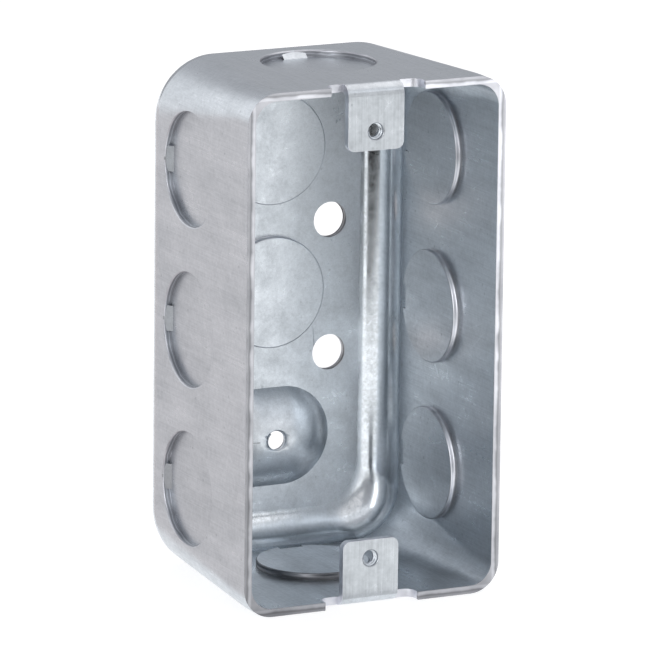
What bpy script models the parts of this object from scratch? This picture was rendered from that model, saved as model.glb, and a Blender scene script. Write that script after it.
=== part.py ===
"""Handy box: one piece of zinc-plated sheet steel, drawn into a deep box.

The box stands on one short end, as in the photograph.
X runs across its width, Y from the open front (-Y) to the back, Z along its length.
The origin is under the middle of the end that it stands on.
"""

import math

import bmesh
import bpy
from mathutils import Matrix, Vector

MM = 0.001

# Drawn shell
box_width = 54.4 * MM
box_length = 101.6 * MM
box_depth = 47.6 * MM
sheet_thickness = 1.6 * MM
nose_radius = 8.0 * MM
rim_corner_radius = 6.0 * MM
wall_corner_radius = 12.0 * MM
panel_corner_radius = 9.5 * MM
edge_break = 0.25 * MM

# Device tabs, folded in from the two short walls
tab_width = 11.8 * MM
tab_past_screw = 3.67 * MM
tab_setback = 0.8 * MM
tab_bend_radius = 2.4 * MM
tab_corner_radius = 1.5 * MM
notch_width = 4.0 * MM
notch_corner_radius = 1.8 * MM
device_screw_spacing = 83.34 * MM
device_screw_bore = 3.1 * MM
device_hole_roll_over = 0.4 * MM
device_collar_diameter = 5.4 * MM
device_collar_height = 0.8 * MM

# Knockouts: discs sheared almost free, pushed in, and left hanging on one tie each
knockout_diameter = 22.2 * MM
knockout_neck = 0.2 * MM
knockout_roll_over = 0.35 * MM
knockout_tie_width = 5.0 * MM
knockout_tie_run = 1.6 * MM
wall_knockout_inset = 25.8 * MM
wall_knockout_pitch = 31.4 * MM
wall_knockout_rise = 0.4 * MM
back_knockout_pitch = 28.6 * MM
back_knockout_rise = 1.3 * MM

# Mounting holes beside the back knockouts
mounting_hole_diameter = 7.1 * MM
mounting_hole_offset = 12.9 * MM
mounting_hole_rise = 14.6 * MM
mounting_hole_pitch = 26.6 * MM

# Raised ground seat: a long dome with a tapped hole at its crown
ground_seat_length = 25.8 * MM
ground_seat_height = 19.8 * MM
ground_seat_rise = 4.0 * MM
ground_seat_drop = 27.9 * MM
ground_screw_bore = 4.1 * MM
ground_screw_chamfer = 0.45 * MM

# Facets, and angles in degrees
corner_steps = 8
nose_steps = 7
bend_steps = 6
round_edge_steps = 3
roll_steps = 2
dome_steps = 6
knockout_segments = 36
hole_segments = 28
dome_segments = 32
knockout_roll_angle = 80
device_hole_roll_angle = 60
crease_angle = 35
broken_edge_angle = 50

# Worked out from the sizes above
half_width = box_width / 2
half_length = box_length / 2
middle_z = half_length
rim_y = -box_depth / 2
back_y = box_depth / 2
nose_start_y = back_y - nose_radius
notch_depth = tab_setback + tab_bend_radius
apron_y = rim_y + notch_depth + sheet_thickness
tab_half = tab_width / 2
knockout_radius = knockout_diameter / 2
knockout_push = sheet_thickness - knockout_neck
tie_slope = knockout_tie_run / knockout_push
past_face = sheet_thickness

TOWARDS_FRONT = (0, -1, 0)
TOWARDS_BACK = (0, 1, 0)
TOWARDS_LEFT = (-1, 0, 0)


def remove_old_objects():
    for item in list(bpy.data.objects):
        bpy.data.objects.remove(item, do_unlink=True)


def new_collection(name):
    collection = bpy.data.collections.new(name)
    bpy.context.scene.collection.children.link(collection)
    return collection


def zinc_plate():
    material = bpy.data.materials.new("zinc_plate")
    material.use_nodes = True
    shader = material.node_tree.nodes["Principled BSDF"]
    shader.inputs["Base Color"].default_value = (0.58, 0.59, 0.62, 1.0)
    shader.inputs["Metallic"].default_value = 0.9
    shader.inputs["Roughness"].default_value = 0.38
    return material


def mesh_object(name, mesh, collection, frame=None):
    item = bpy.data.objects.new(name, mesh)
    collection.objects.link(item)
    if frame is not None:
        item.matrix_world = frame
    return item


def to_mesh(bm, name):
    mesh = bpy.data.meshes.new(name)
    bm.to_mesh(mesh)
    bm.free()
    mesh.shade_smooth()
    mesh.set_sharp_from_angle(angle=math.radians(crease_angle))
    return mesh


def arc_points(centre, radius, start, end, steps):
    """Points on an arc in a plane, both ends included, angles in degrees."""
    points = []
    for step in range(steps + 1):
        angle = math.radians(start + (end - start) * step / steps)
        points.append((centre[0] + radius * math.cos(angle), centre[1] + radius * math.sin(angle)))
    return points


def section(half_x, half_z, radius, y):
    """One section of the drawn shell: a rectangle with round corners, square to Y."""
    ring = []
    for quarter, (side_x, side_z) in enumerate(((1, 1), (-1, 1), (-1, -1), (1, -1))):
        centre = (side_x * (half_x - radius), side_z * (half_z - radius))
        corner = arc_points(centre, radius, 90 * quarter, 90 * quarter + 90, corner_steps)
        ring.extend(Vector((x, y, middle_z + z)) for x, z in corner)
    return ring


def shell_sections():
    """Sections from the rim to the flat back.

    The corners are tight at the open rim and open out towards the nose, where the walls turn
    into the back through a quarter round."""
    rings = [
        section(half_width, half_length, rim_corner_radius, rim_y),
        section(half_width, half_length, rim_corner_radius, apron_y),
    ]
    for step in range(nose_steps + 1):
        angle = math.radians(90 * step / nose_steps)
        turned_in = 1 - math.cos(angle)
        inset = nose_radius * turned_in
        radius = wall_corner_radius + (panel_corner_radius - wall_corner_radius) * turned_in
        y = nose_start_y + nose_radius * math.sin(angle)
        rings.append(section(half_width - inset, half_length - inset, radius, y))
    return rings


def notched_edge():
    """The front edge of a short wall, from the outer corner of one relief notch, past the root
    of the tab, to the outer corner of the other.

    Each point is (distance from the middle, distance from the rim)."""
    outer = tab_half + notch_width
    centre = (outer - notch_corner_radius, notch_depth - notch_corner_radius)
    half = [(outer, 0.0)]
    half.extend(arc_points(centre, notch_corner_radius, 0, 90, round_edge_steps))
    half.append((tab_half, notch_depth))
    return half + [(-across, deep) for across, deep in reversed(half)]


def add_short_wall_front(bm, top, corner_verts):
    """The flat front band of a short wall with its notches, and the tab that folds in from it.

    top is 1 for the upper wall and -1 for the lower one. corner_verts are the band's corners,
    in the order front, back, back, front."""
    edge = [
        bm.verts.new((-top * across, rim_y + deep, middle_z + top * half_length))
        for across, deep in notched_edge()
    ]
    bm.faces.new(list(corner_verts) + edge)
    middle = len(edge) // 2
    row = [edge[middle - 1], edge[middle]]
    for step in range(1, bend_steps + 1):
        angle = math.radians(90 * step / bend_steps)
        y = rim_y + notch_depth - tab_bend_radius * math.sin(angle)
        z = middle_z + top * (half_length - tab_bend_radius * (1 - math.cos(angle)))
        next_row = [bm.verts.new((-top * side * tab_half, y, z)) for side in (1, -1)]
        bm.faces.new((row[1], row[0], next_row[0], next_row[1]))
        row = next_row
    add_tab_face(bm, top, row)


def add_tab_face(bm, top, row):
    """The flat of a tab, which reaches past its device screw, with its two free corners rounded."""
    end = device_screw_spacing / 2 - tab_past_screw
    centre = (tab_half - tab_corner_radius, end + tab_corner_radius)
    half = arc_points(centre, tab_corner_radius, 0, -90, round_edge_steps)
    outline = half + [(-across, reach) for across, reach in reversed(half)]
    y = rim_y + tab_setback
    verts = [bm.verts.new((-top * across, y, middle_z + top * reach)) for across, reach in outline]
    bm.faces.new([row[1], row[0]] + verts)


def drawn_surface():
    """The outside of the drawn box and its tabs, as one open surface."""
    bm = bmesh.new()
    rings = [[bm.verts.new(point) for point in ring] for ring in shell_sections()]
    count = len(rings[0])
    short_wall_starts = {corner_steps: 1, 3 * corner_steps + 2: -1}
    for number, (front, back) in enumerate(zip(rings, rings[1:])):
        for index in range(count):
            after = (index + 1) % count
            corners = (front[index], back[index], back[after], front[after])
            if number == 0 and index in short_wall_starts:
                add_short_wall_front(bm, short_wall_starts[index], corners)
            else:
                bm.faces.new(corners)
    bm.faces.new(list(reversed(rings[-1])))
    return to_mesh(bm, "drawn_surface")


def turned_form(profile, segments):
    """A closed form turned about Z from (radius, z) points, its two ends capped flat."""
    bm = bmesh.new()
    lean = math.pi / segments
    verts = [bm.verts.new((r * math.cos(lean), r * math.sin(lean), z)) for r, z in profile]
    edges = [bm.edges.new(pair) for pair in zip(verts, verts[1:])]
    turn = {"axis": (0, 0, 1), "cent": (0, 0, 0), "angle": 2 * math.pi}
    bmesh.ops.spin(bm, geom=verts + edges, steps=segments, use_merge=True, **turn)
    bmesh.ops.holes_fill(bm, edges=bm.edges, sides=segments)
    bmesh.ops.recalc_face_normals(bm, faces=bm.faces)
    return bm


def rolled_entry(radius, roll, roll_angle):
    """The rounded edge of a hole in the face z = 0, from its bore outwards.

    It ends in a flare that leads clear of the face."""
    points = []
    for step in range(roll_steps + 1):
        turn = math.radians(roll_angle * step / roll_steps)
        points.append((radius + roll * (1 - math.cos(turn)), roll * (1 - math.sin(turn))))
    reach, depth = points[-1]
    flare = reach + roll * math.sin(turn)
    return points + [(flare, depth - roll * math.cos(turn)), (flare, -past_face)]


def tie_wedge(outline):
    """A prism as wide as a knockout's tie, from an outline in the plane of X and Z."""
    bm = bmesh.new()
    side = bm.faces.new([bm.verts.new((x, -knockout_tie_width / 2, z)) for x, z in outline])
    grown = bmesh.ops.extrude_face_region(bm, geom=[side])
    moved = [item for item in grown["geom"] if isinstance(item, bmesh.types.BMVert)]
    bmesh.ops.translate(bm, verts=moved, vec=(0, knockout_tie_width, 0))
    bmesh.ops.recalc_face_normals(bm, faces=bm.faces)
    return bm


def without_wedge(name, form, wedge):
    """A turned form with a wedge taken out of it, as a mesh that copies can share."""
    collection = bpy.context.scene.collection
    body = mesh_object(name, to_mesh(form, name), collection)
    tool = mesh_object(name + "_wedge", to_mesh(wedge, name + "_wedge"), collection)
    cut = body.modifiers.new("wedge", "BOOLEAN")
    cut.operation = "DIFFERENCE"
    cut.solver = "EXACT"
    cut.object = tool
    depsgraph = bpy.context.evaluated_depsgraph_get()
    mesh = bpy.data.meshes.new_from_object(body.evaluated_get(depsgraph))
    bpy.data.objects.remove(body, do_unlink=True)
    bpy.data.objects.remove(tool, do_unlink=True)
    return mesh


def knockout_slug():
    """The disc that stands out inside the box, its edge rolled over, sloping down at its tie.

    Z points into the box from the outer face of the wall, and X towards the tie."""
    top = sheet_thickness + knockout_push
    root = sheet_thickness - knockout_neck / 2
    centre = (knockout_radius - knockout_roll_over, top - knockout_roll_over)
    rolled = arc_points(centre, knockout_roll_over, 0, 90, roll_steps)
    form = turned_form([(knockout_radius, root)] + rolled, knockout_segments)
    foot = knockout_radius - knockout_neck / 2
    head = foot - knockout_tie_run
    low = root - knockout_neck / 2
    high = top + past_face
    far = knockout_radius + past_face
    sunk_foot = foot + tie_slope * (sheet_thickness - low)
    outline = [(sunk_foot, low), (head, top), (head, high), (far, high), (far, low)]
    return without_wedge("knockout_slug", form, tie_wedge(outline))


def knockout_recess():
    """What the pushed disc leaves open outside: a pocket with a rolled edge, and a ramp at the tie."""
    entry = rolled_entry(knockout_radius, knockout_roll_over, knockout_roll_angle)
    form = turned_form([(knockout_radius, knockout_push)] + entry, knockout_segments)
    foot = knockout_radius + knockout_roll_over
    head = foot - knockout_tie_run
    low = knockout_push + past_face
    high = -2 * past_face
    raised_foot = foot - tie_slope * high
    far = raised_foot + past_face
    outline = [(head, low), (head, knockout_push), (raised_foot, high), (far, high), (far, low)]
    return without_wedge("knockout_recess", form, tie_wedge(outline))


def wall_frame(point, inward, across):
    """A frame on the outer face of a wall: Z into the box, X along the given direction."""
    z_axis = Vector(inward)
    x_axis = Vector(across)
    frame = Matrix((x_axis, z_axis.cross(x_axis), z_axis)).transposed().to_4x4()
    frame.translation = Vector(point)
    return frame


def back_frame(x, z):
    return wall_frame((x, back_y, z), TOWARDS_FRONT, TOWARDS_LEFT)


def knockout_frames():
    """Three knockouts on each long wall, one on each short wall and two in the back."""
    frames = {}
    inset_y = rim_y + wall_knockout_inset
    for side_name, side in (("left", -1), ("right", 1)):
        for row_name, row in (("upper", 1), ("middle", 0), ("lower", -1)):
            z = middle_z + wall_knockout_rise + row * wall_knockout_pitch
            frame = wall_frame((side * half_width, inset_y, z), (-side, 0, 0), TOWARDS_BACK)
            frames[side_name + "_" + row_name] = frame
    frames["top_end"] = wall_frame((0, inset_y, box_length), (0, 0, -1), TOWARDS_BACK)
    frames["bottom_end"] = wall_frame((0, inset_y, 0), (0, 0, 1), TOWARDS_BACK)
    for row_name, row in (("upper", 1), ("middle", 0)):
        frames["back_" + row_name] = back_frame(0, middle_z + back_knockout_rise + row * back_knockout_pitch)
    return frames


def add_knockouts(raised, cut):
    slug = knockout_slug()
    recess = knockout_recess()
    for name, frame in knockout_frames().items():
        mesh_object("slug_" + name, slug, raised, frame)
        mesh_object("recess_" + name, recess, cut, frame)


def long_cap(name, cap_radius, base_radius, base_z, foot_z):
    """A long spherical cap that stands on z = base_z, closed at foot_z below it.

    The cap is turned, then its halves are moved apart in X, which draws the faces between
    them out into straight runs."""
    base_angle = math.asin(base_radius / cap_radius)
    sphere_z = base_z - cap_radius * math.cos(base_angle)
    profile = [(base_radius, foot_z)]
    for step in range(dome_steps):
        angle = base_angle * (1 - step / dome_steps)
        profile.append((cap_radius * math.sin(angle), sphere_z + cap_radius * math.cos(angle)))
    bm = turned_form(profile, dome_segments)
    straight = (ground_seat_length - ground_seat_height) / 2
    for vert in bm.verts:
        vert.co.x += math.copysign(straight, vert.co.x)
    return to_mesh(bm, name)


def add_ground_seat(raised, cut):
    """The dome inside the box and the hollow behind it, one sheet thickness apart, and the
    screw hole, chamfered at the crown."""
    frame = back_frame(0, middle_z - ground_seat_drop)
    base_radius = ground_seat_height / 2
    cap_radius = (base_radius ** 2 + ground_seat_rise ** 2) / (2 * ground_seat_rise)
    dome = long_cap("ground_dome", cap_radius, base_radius, sheet_thickness, sheet_thickness / 2)
    mesh_object("ground_dome", dome, raised, frame)
    hollow_radius = cap_radius - sheet_thickness
    hollow_drop = cap_radius - ground_seat_rise - sheet_thickness
    hollow_base = math.sqrt(hollow_radius ** 2 - hollow_drop ** 2)
    hollow = long_cap("ground_hollow", hollow_radius, hollow_base, 0.0, -past_face)
    mesh_object("ground_hollow", hollow, cut, frame)
    bore = ground_screw_bore / 2
    wide = bore + ground_screw_chamfer
    crown = sheet_thickness + ground_seat_rise
    profile = [(bore, -past_face), (bore, crown - ground_screw_chamfer), (wide, crown)]
    add_turned("ground_hole", profile + [(wide, crown + past_face)], frame, cut)


def add_turned(name, profile, frame, collection):
    mesh_object(name, to_mesh(turned_form(profile, hole_segments), name), collection, frame)


def add_device_holes(raised, cut):
    """A formed collar behind each tab, and the tapped hole through it with a rolled entry."""
    bore = device_screw_bore / 2
    collar = device_collar_diameter / 2
    collar_end = sheet_thickness + device_collar_height
    tube = [(collar, sheet_thickness / 2), (collar, collar_end)]
    hole = [(bore, collar_end + past_face)]
    hole.extend(rolled_entry(bore, device_hole_roll_over, device_hole_roll_angle))
    for name, side in (("upper", 1), ("lower", -1)):
        z = middle_z + side * device_screw_spacing / 2
        frame = wall_frame((0, rim_y + tab_setback, z), TOWARDS_BACK, TOWARDS_LEFT)
        add_turned("device_collar_" + name, tube, frame, raised)
        add_turned("device_hole_" + name, hole, frame, cut)


def add_mounting_holes(cut):
    radius = mounting_hole_diameter / 2
    profile = [(radius, -past_face), (radius, sheet_thickness + past_face)]
    for name, row in (("upper", 0), ("lower", 1)):
        z = middle_z + mounting_hole_rise - row * mounting_hole_pitch
        add_turned("mounting_hole_" + name, profile, back_frame(mounting_hole_offset, z), cut)


def hide_tools(collection):
    for tool in collection.objects:
        tool.hide_render = True
        tool.display_type = "WIRE"


def combine(item, name, operation, collection):
    step = item.modifiers.new(name, "BOOLEAN")
    step.operation = operation
    step.solver = "EXACT"
    step.operand_type = "COLLECTION"
    step.collection = collection


def build_box(parts, raised, cut):
    """Sheet thickness, then broken edges, then everything formed in or cut out of the sheet."""
    box = mesh_object("drawn_box", drawn_surface(), parts)
    box.data.materials.append(zinc_plate())
    shell = box.modifiers.new("sheet", "SOLIDIFY")
    shell.thickness = sheet_thickness
    shell.offset = -1
    shell.use_even_offset = True
    shell.use_quality_normals = True
    edges = box.modifiers.new("broken_edges", "BEVEL")
    edges.width = edge_break
    edges.segments = 2
    edges.limit_method = "ANGLE"
    edges.angle_limit = math.radians(broken_edge_angle)
    combine(box, "raised_forms", "UNION", raised)
    combine(box, "cut_forms", "DIFFERENCE", cut)
    shading = box.modifiers.new("even_shading", "WEIGHTED_NORMAL")
    shading.keep_sharp = True


def main():
    remove_old_objects()
    parts = new_collection("handy_box")
    raised = new_collection("raised_form_tools")
    cut = new_collection("cut_form_tools")
    add_knockouts(raised, cut)
    add_ground_seat(raised, cut)
    add_device_holes(raised, cut)
    add_mounting_holes(cut)
    hide_tools(raised)
    hide_tools(cut)
    build_box(parts, raised, cut)


main()
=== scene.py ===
"""Handy box: a drawn, zinc-plated steel box, dressed over its packed model.

Everything is in metres. X runs across the box, Y from the open front (-Y) to the back, and
Z along its length. The origin is under the middle of the end that the box stands on.
"""

import math
from types import SimpleNamespace

import bmesh
import bpy
from bpy.props import FloatProperty, FloatVectorProperty, IntProperty, PointerProperty
from mathutils import Matrix, Vector


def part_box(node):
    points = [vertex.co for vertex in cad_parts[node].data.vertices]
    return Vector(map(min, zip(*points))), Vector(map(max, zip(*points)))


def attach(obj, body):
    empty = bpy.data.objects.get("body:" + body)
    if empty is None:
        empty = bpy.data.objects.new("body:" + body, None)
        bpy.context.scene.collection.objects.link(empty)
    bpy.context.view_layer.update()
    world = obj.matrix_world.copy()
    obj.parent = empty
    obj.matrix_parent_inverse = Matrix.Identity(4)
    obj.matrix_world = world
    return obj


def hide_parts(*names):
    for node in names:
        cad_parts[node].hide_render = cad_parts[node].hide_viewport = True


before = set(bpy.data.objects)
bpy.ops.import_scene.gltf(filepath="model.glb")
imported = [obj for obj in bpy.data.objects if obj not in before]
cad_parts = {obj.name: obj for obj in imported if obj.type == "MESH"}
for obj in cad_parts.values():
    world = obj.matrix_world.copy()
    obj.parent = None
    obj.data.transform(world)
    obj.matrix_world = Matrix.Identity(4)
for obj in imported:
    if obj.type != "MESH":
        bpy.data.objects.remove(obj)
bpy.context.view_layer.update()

bl_info = {
    "name": "Handy box",
    "version": (1, 0, 0),
    "blender": (4, 5, 0),
    "location": "3D View > Sidebar > Handy box",
    "description": "Makes a drawn steel handy box, its screw threads, its zinc finish and its stage",
    "category": "Object",
}

MM = 0.001
STEEP = 0.3
ROLLED = 0.9
LEVEL = 0.01
WORKED_EDGE = 0.4 * MM
TAB_SLACK = 0.1 * MM
NODE = "drawn_box"
BODY = "root"
NODE_LOW, NODE_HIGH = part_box(NODE)
NODE_SIZE = NODE_HIGH - NODE_LOW

TOWARDS_FRONT = (0, -1, 0)
TOWARDS_BACK = (0, 1, 0)
TOWARDS_LEFT = (-1, 0, 0)


# Sizes and finish, as a user changes them


def length(name, description, value):
    """A length in metres, from its default in millimetres."""
    return FloatProperty(
        name=name, description=description, default=value * MM, min=0.0, precision=5, unit="LENGTH"
    )


def amount(name, description, value, top=1.0):
    return FloatProperty(name=name, description=description, default=value, min=0.0, max=top)


def steps(name, description, value):
    return IntProperty(name=name, description=description, default=value, min=1, max=256)


def degrees(name, description, value):
    return FloatProperty(
        name=name, description=description, default=math.radians(value), unit="ROTATION"
    )


def colour(name, description, value):
    return FloatVectorProperty(
        name=name, description=description, default=value, min=0.0, max=1.0, size=3, subtype="COLOR"
    )


class ShellSizes(bpy.types.PropertyGroup):
    """The drawn shell."""

    box_width: length("Width", "Outside width of the box", NODE_SIZE.x / MM)
    box_length: length("Length", "Outside length of the box", NODE_SIZE.z / MM)
    box_depth: length("Depth", "Outside depth, rim to back", NODE_SIZE.y / MM)
    sheet_thickness: length("Sheet", "Thickness of the steel", 1.6)
    nose_radius: length("Nose radius", "Outside radius where the walls turn into the back", 8.0)
    rim_corner_radius: length("Rim corner", "Outside corner radius at the open rim", 6.0)
    wall_corner_radius: length("Wall corner", "Outside corner radius where the nose starts", 12.0)
    panel_corner_radius: length("Panel corner", "Corner radius of the flat back", 9.5)
    edge_break: length("Edge break", "Width of the rounding on the cut edges", 0.55)


class TabSizes(bpy.types.PropertyGroup):
    """The two device tabs and their tapped holes."""

    tab_width: length("Tab width", "Width of a tab", 11.8)
    tab_past_screw: length("Past screw", "From the screw's axis to the end of the tab", 3.67)
    tab_setback: length("Setback", "From the rim back to the face of a tab", 0.8)
    tab_bend_radius: length("Bend radius", "Outside radius of a tab's fold", 2.4)
    tab_corner_radius: length("Tab corner", "Radius of a tab's free corners", 1.5)
    notch_width: length("Notch width", "Width of the relief notch beside a tab", 4.0)
    notch_corner_radius: length("Notch corner", "Radius in a notch", 1.8)
    device_screw_spacing: length("Screw spacing", "Between the two device screws", 83.34)
    device_screw_bore: length("Screw bore", "Bore of a device screw's hole", 3.1)
    device_hole_roll_over: length("Hole entry", "Rounding at the entry of the hole", 0.4)
    device_collar_diameter: length("Collar", "Outside diameter of the collar behind", 5.4)
    device_collar_height: length("Collar height", "How far the collar stands out", 0.8)


class KnockoutSizes(bpy.types.PropertyGroup):
    """The discs that are sheared almost free and pushed in."""

    knockout_diameter: length("Diameter", "Diameter of a knockout", 22.2)
    knockout_neck: length("Neck", "Steel left round a disc", 0.2)
    knockout_roll_over: length("Roll-over", "Rounding at the sheared edges", 0.35)
    knockout_tie_width: length("Tie width", "Width of the tie that a disc hangs on", 5.0)
    knockout_tie_run: length("Tie run", "How far the tie slopes", 1.6)
    wall_knockout_inset: length("Wall inset", "From the rim to a wall's knockouts", 25.8)
    wall_knockout_pitch: length("Wall pitch", "Between the knockouts of a long wall", 31.4)
    wall_knockout_rise: length("Wall rise", "Middle knockout above the box's middle", 0.4)
    back_knockout_pitch: length("Back pitch", "Between the knockouts of the back", 28.6)
    back_knockout_rise: length("Back rise", "Lower back knockout above the box's middle", 1.3)


class HoleSizes(bpy.types.PropertyGroup):
    """The mounting holes and the ground seat."""

    mounting_hole_diameter: length("Mounting hole", "Diameter of a mounting hole", 7.1)
    mounting_hole_offset: length("Offset", "Mounting holes from the middle", 12.9)
    mounting_hole_rise: length("Rise", "Upper mounting hole above the box's middle", 14.6)
    mounting_hole_pitch: length("Hole pitch", "Between the mounting holes", 26.6)
    ground_seat_length: length("Seat length", "Length of the ground seat across the box", 25.8)
    ground_seat_height: length("Seat height", "Height of the ground seat", 19.8)
    ground_seat_rise: length("Seat rise", "How far the seat stands into the box", 4.0)
    ground_seat_drop: length("Seat drop", "Seat below the box's middle", 27.9)
    ground_screw_bore: length("Ground bore", "Bore of the ground screw's hole", 4.1)
    ground_screw_chamfer: length("Chamfer", "Chamfer at the ground hole", 0.45)


class ThreadSizes(bpy.types.PropertyGroup):
    """The screw threads in the tapped holes."""

    thread_pitch: length("Pitch", "Rise of the thread in one turn", 0.794)
    thread_height: length("Height", "How far the thread stands into the bore", 0.22)
    thread_crest: length("Crest", "Width of the thread's flat crest", 0.1)
    thread_root: length("Root", "Width of the thread at the bore", 0.5)
    thread_lead_in: length("Lead-in", "From the face of the hole to the first turn", 0.35)
    thread_segments: steps("Segments", "Segments in one turn", 40)


class FacetCounts(bpy.types.PropertyGroup):
    """How finely the curves are divided."""

    corner_steps: steps("Corner", "Segments in a corner", 20)
    nose_steps: steps("Nose", "Segments across the nose", 20)
    bend_steps: steps("Bend", "Segments in a tab's fold", 14)
    round_edge_steps: steps("Round edges", "Segments in small corners", 8)
    roll_steps: steps("Roll-over", "Segments across a sheared edge", 4)
    dome_steps: steps("Dome", "Segments up the dome", 16)
    knockout_segments: steps("Knockout", "Segments round a knockout", 112)
    hole_segments: steps("Hole", "Segments round a hole", 56)
    dome_segments: steps("Dome round", "Segments round the dome", 72)
    bevel_segments: steps("Bevel", "Segments across a broken edge", 4)
    knockout_roll_angle: degrees("Knockout roll", "How far a knockout's edge rolls over", 80)
    device_hole_roll_angle: degrees("Hole roll", "How far a hole's entry rolls over", 60)
    crease_angle: degrees("Crease", "Edges sharper than this stay sharp", 35)
    broken_edge_angle: degrees("Broken edge", "Edges sharper than this are broken", 50)


class ZincFinish(bpy.types.PropertyGroup):
    """Colours and surface of the zinc-plated steel."""

    zinc_colour: colour("Zinc", "Colour of the brightest plated steel", (0.755, 0.80, 0.845))
    dull_colour: colour("Dull zinc", "Colour of its dullest spots", (0.465, 0.497, 0.525))
    cut_colour: colour("Cut edge", "Colour of the sheared edges", (0.55, 0.562, 0.60))
    cut_bright_colour: colour("Bright cut", "Colour of their bright flecks", (0.77, 0.782, 0.83))
    grain_size: length("Grain", "Size of the zinc's mottling", 0.9)
    grain_depth: amount("Grain depth", "Contrast of the mottling", 0.16)
    patch_size: length("Patches", "Size of the duller patches", 9.0)
    patch_depth: amount("Patch depth", "Contrast of the patches", 0.12)
    streak_width: length("Streak width", "Width of a draw mark", 0.22)
    streak_length: length("Streak length", "Length of a draw mark", 14.0)
    streak_depth: amount("Streak depth", "Contrast of the draw marks", 0.12)
    tab_streak_depth: amount("Tab streak depth", "Contrast of the draw marks on the tabs", 0.17)
    smear_depth: amount("Smear depth", "Contrast of the long pale smears", 0.17)
    speck_spacing: length("Speck spacing", "Distance between dark specks", 3.2)
    speck_depth: amount("Speck depth", "Contrast of the specks", 0.35)
    scratch_spacing: length("Scratch spacing", "Distance between scratches", 7.0)
    scratch_depth: amount("Scratch depth", "Contrast of the scratches", 0.14)
    # Painted light: the pushed discs, the folded tabs and the ties get a brightness of their own,
    # standing in for how light falls on them, not a tone of the steel
    disc_level: amount("Disc level", "Brightness of the pushed discs", 0.98, top=2.0)
    tab_level: amount("Tab level", "Brightness of the folded tabs", 0.7, top=2.0)
    tie_level: amount("Tie level", "Brightness of the discs' ties", 0.6, top=2.0)
    # Painted light and shade on the rim: darker towards the left and the lower end, brighter towards the
    # right and the upper end
    rim_left: amount("Rim left", "Brightness of the rim's left side", 0.66, top=2.0)
    rim_right: amount("Rim right", "Brightness of the rim's right side", 0.92, top=2.0)
    rim_low: amount("Rim low", "Brightness of the rim's lower end", 0.7, top=2.0)
    rim_high: amount("Rim high", "Brightness of the rim's upper end", 1.2, top=2.0)
    band_spread: length("Band spread", "How unevenly the sheared edges' bands run", 0.16)
    wave_size: length("Waves", "Length of the sheet's waviness", 26.0)
    wave_height: length("Wave height", "Height of the sheet's waviness", 0.06)
    scratch_height: length("Draw marks", "Depth of the draw marks and pits", 0.006)
    roughness: amount("Roughness", "Roughness of the plated steel", 0.34)
    worked_roughness: amount("Worked roughness", "Roughness where the sheet was drawn round", 0.19)
    cut_roughness: amount("Cut roughness", "Roughness of the sheared edges", 0.38)
    roughness_spread: amount("Roughness spread", "How much the roughness follows the tone", 0.25)


class StageSettings(bpy.types.PropertyGroup):
    """Camera, floor and light."""

    camera_lens: FloatProperty(name="Lens", description="Focal length of the camera, mm", default=412.2)
    floor_colour: colour("Floor", "Colour of the floor", (0.45, 0.45, 0.455))
    floor_glow: amount("Floor glow", "How white the floor is in its own shadow", 0.72)
    world_low: amount("Low light", "Light from all round, low down", 0.38)
    world_high: amount("High light", "Light from all round, from above", 0.6)


GROUPS = {
    "handy_box_shell": ShellSizes,
    "handy_box_tabs": TabSizes,
    "handy_box_knockouts": KnockoutSizes,
    "handy_box_holes": HoleSizes,
    "handy_box_threads": ThreadSizes,
    "handy_box_facets": FacetCounts,
    "handy_box_finish": ZincFinish,
    "handy_box_stage": StageSettings,
}


def read_plan(scene):
    """All sizes as plain numbers, with the places that follow from them."""
    plan = SimpleNamespace()
    for attribute, group in GROUPS.items():
        values = getattr(scene, attribute)
        for name in group.__annotations__:
            setattr(plan, name, getattr(values, name))
    plan.half_width = plan.box_width / 2
    plan.half_length = plan.box_length / 2
    plan.middle_z = plan.half_length
    plan.rim_y = -plan.box_depth / 2
    plan.back_y = plan.box_depth / 2
    plan.nose_start_y = plan.back_y - plan.nose_radius
    plan.notch_depth = plan.tab_setback + plan.tab_bend_radius
    plan.apron_y = plan.rim_y + plan.notch_depth + plan.sheet_thickness
    plan.tab_half = plan.tab_width / 2
    plan.knockout_radius = plan.knockout_diameter / 2
    plan.knockout_push = plan.sheet_thickness - plan.knockout_neck
    plan.tie_slope = plan.knockout_tie_run / plan.knockout_push
    plan.past_face = plan.sheet_thickness
    return plan


# Shared mesh helpers


def add_object(name, data, place=None):
    item = bpy.data.objects.new(name, data)
    bpy.context.scene.collection.objects.link(item)
    if place is not None:
        item.matrix_world = place
    return item


def to_mesh(bm, name, crease):
    mesh = bpy.data.meshes.new(name)
    bm.to_mesh(mesh)
    bm.free()
    mesh.shade_smooth()
    mesh.set_sharp_from_angle(angle=crease)
    return mesh


def plain_copy(item, name):
    """The evaluated shape of an object, as a mesh of its own, in the object's own axes."""
    bpy.context.view_layer.update()
    depsgraph = bpy.context.evaluated_depsgraph_get()
    mesh = bpy.data.meshes.new_from_object(item.evaluated_get(depsgraph))
    mesh.name = name
    return mesh


def drop(items):
    for item in items:
        bpy.data.objects.remove(item, do_unlink=True)


def arc_points(centre, radius, start, end, count):
    """Points on an arc in a plane, both ends included, angles in degrees."""
    points = []
    for step in range(count + 1):
        angle = math.radians(start + (end - start) * step / count)
        points.append((centre[0] + radius * math.cos(angle), centre[1] + radius * math.sin(angle)))
    return points


def turned_form(profile, segments):
    """A closed form turned about Z from (radius, z) points, its two ends capped flat."""
    bm = bmesh.new()
    lean = math.pi / segments
    verts = [bm.verts.new((r * math.cos(lean), r * math.sin(lean), z)) for r, z in profile]
    edges = [bm.edges.new(pair) for pair in zip(verts, verts[1:])]
    turn = {"axis": (0, 0, 1), "cent": (0, 0, 0), "angle": 2 * math.pi}
    bmesh.ops.spin(bm, geom=verts + edges, steps=segments, use_merge=True, **turn)
    bmesh.ops.holes_fill(bm, edges=bm.edges, sides=segments)
    bmesh.ops.recalc_face_normals(bm, faces=bm.faces)
    return bm


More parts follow.
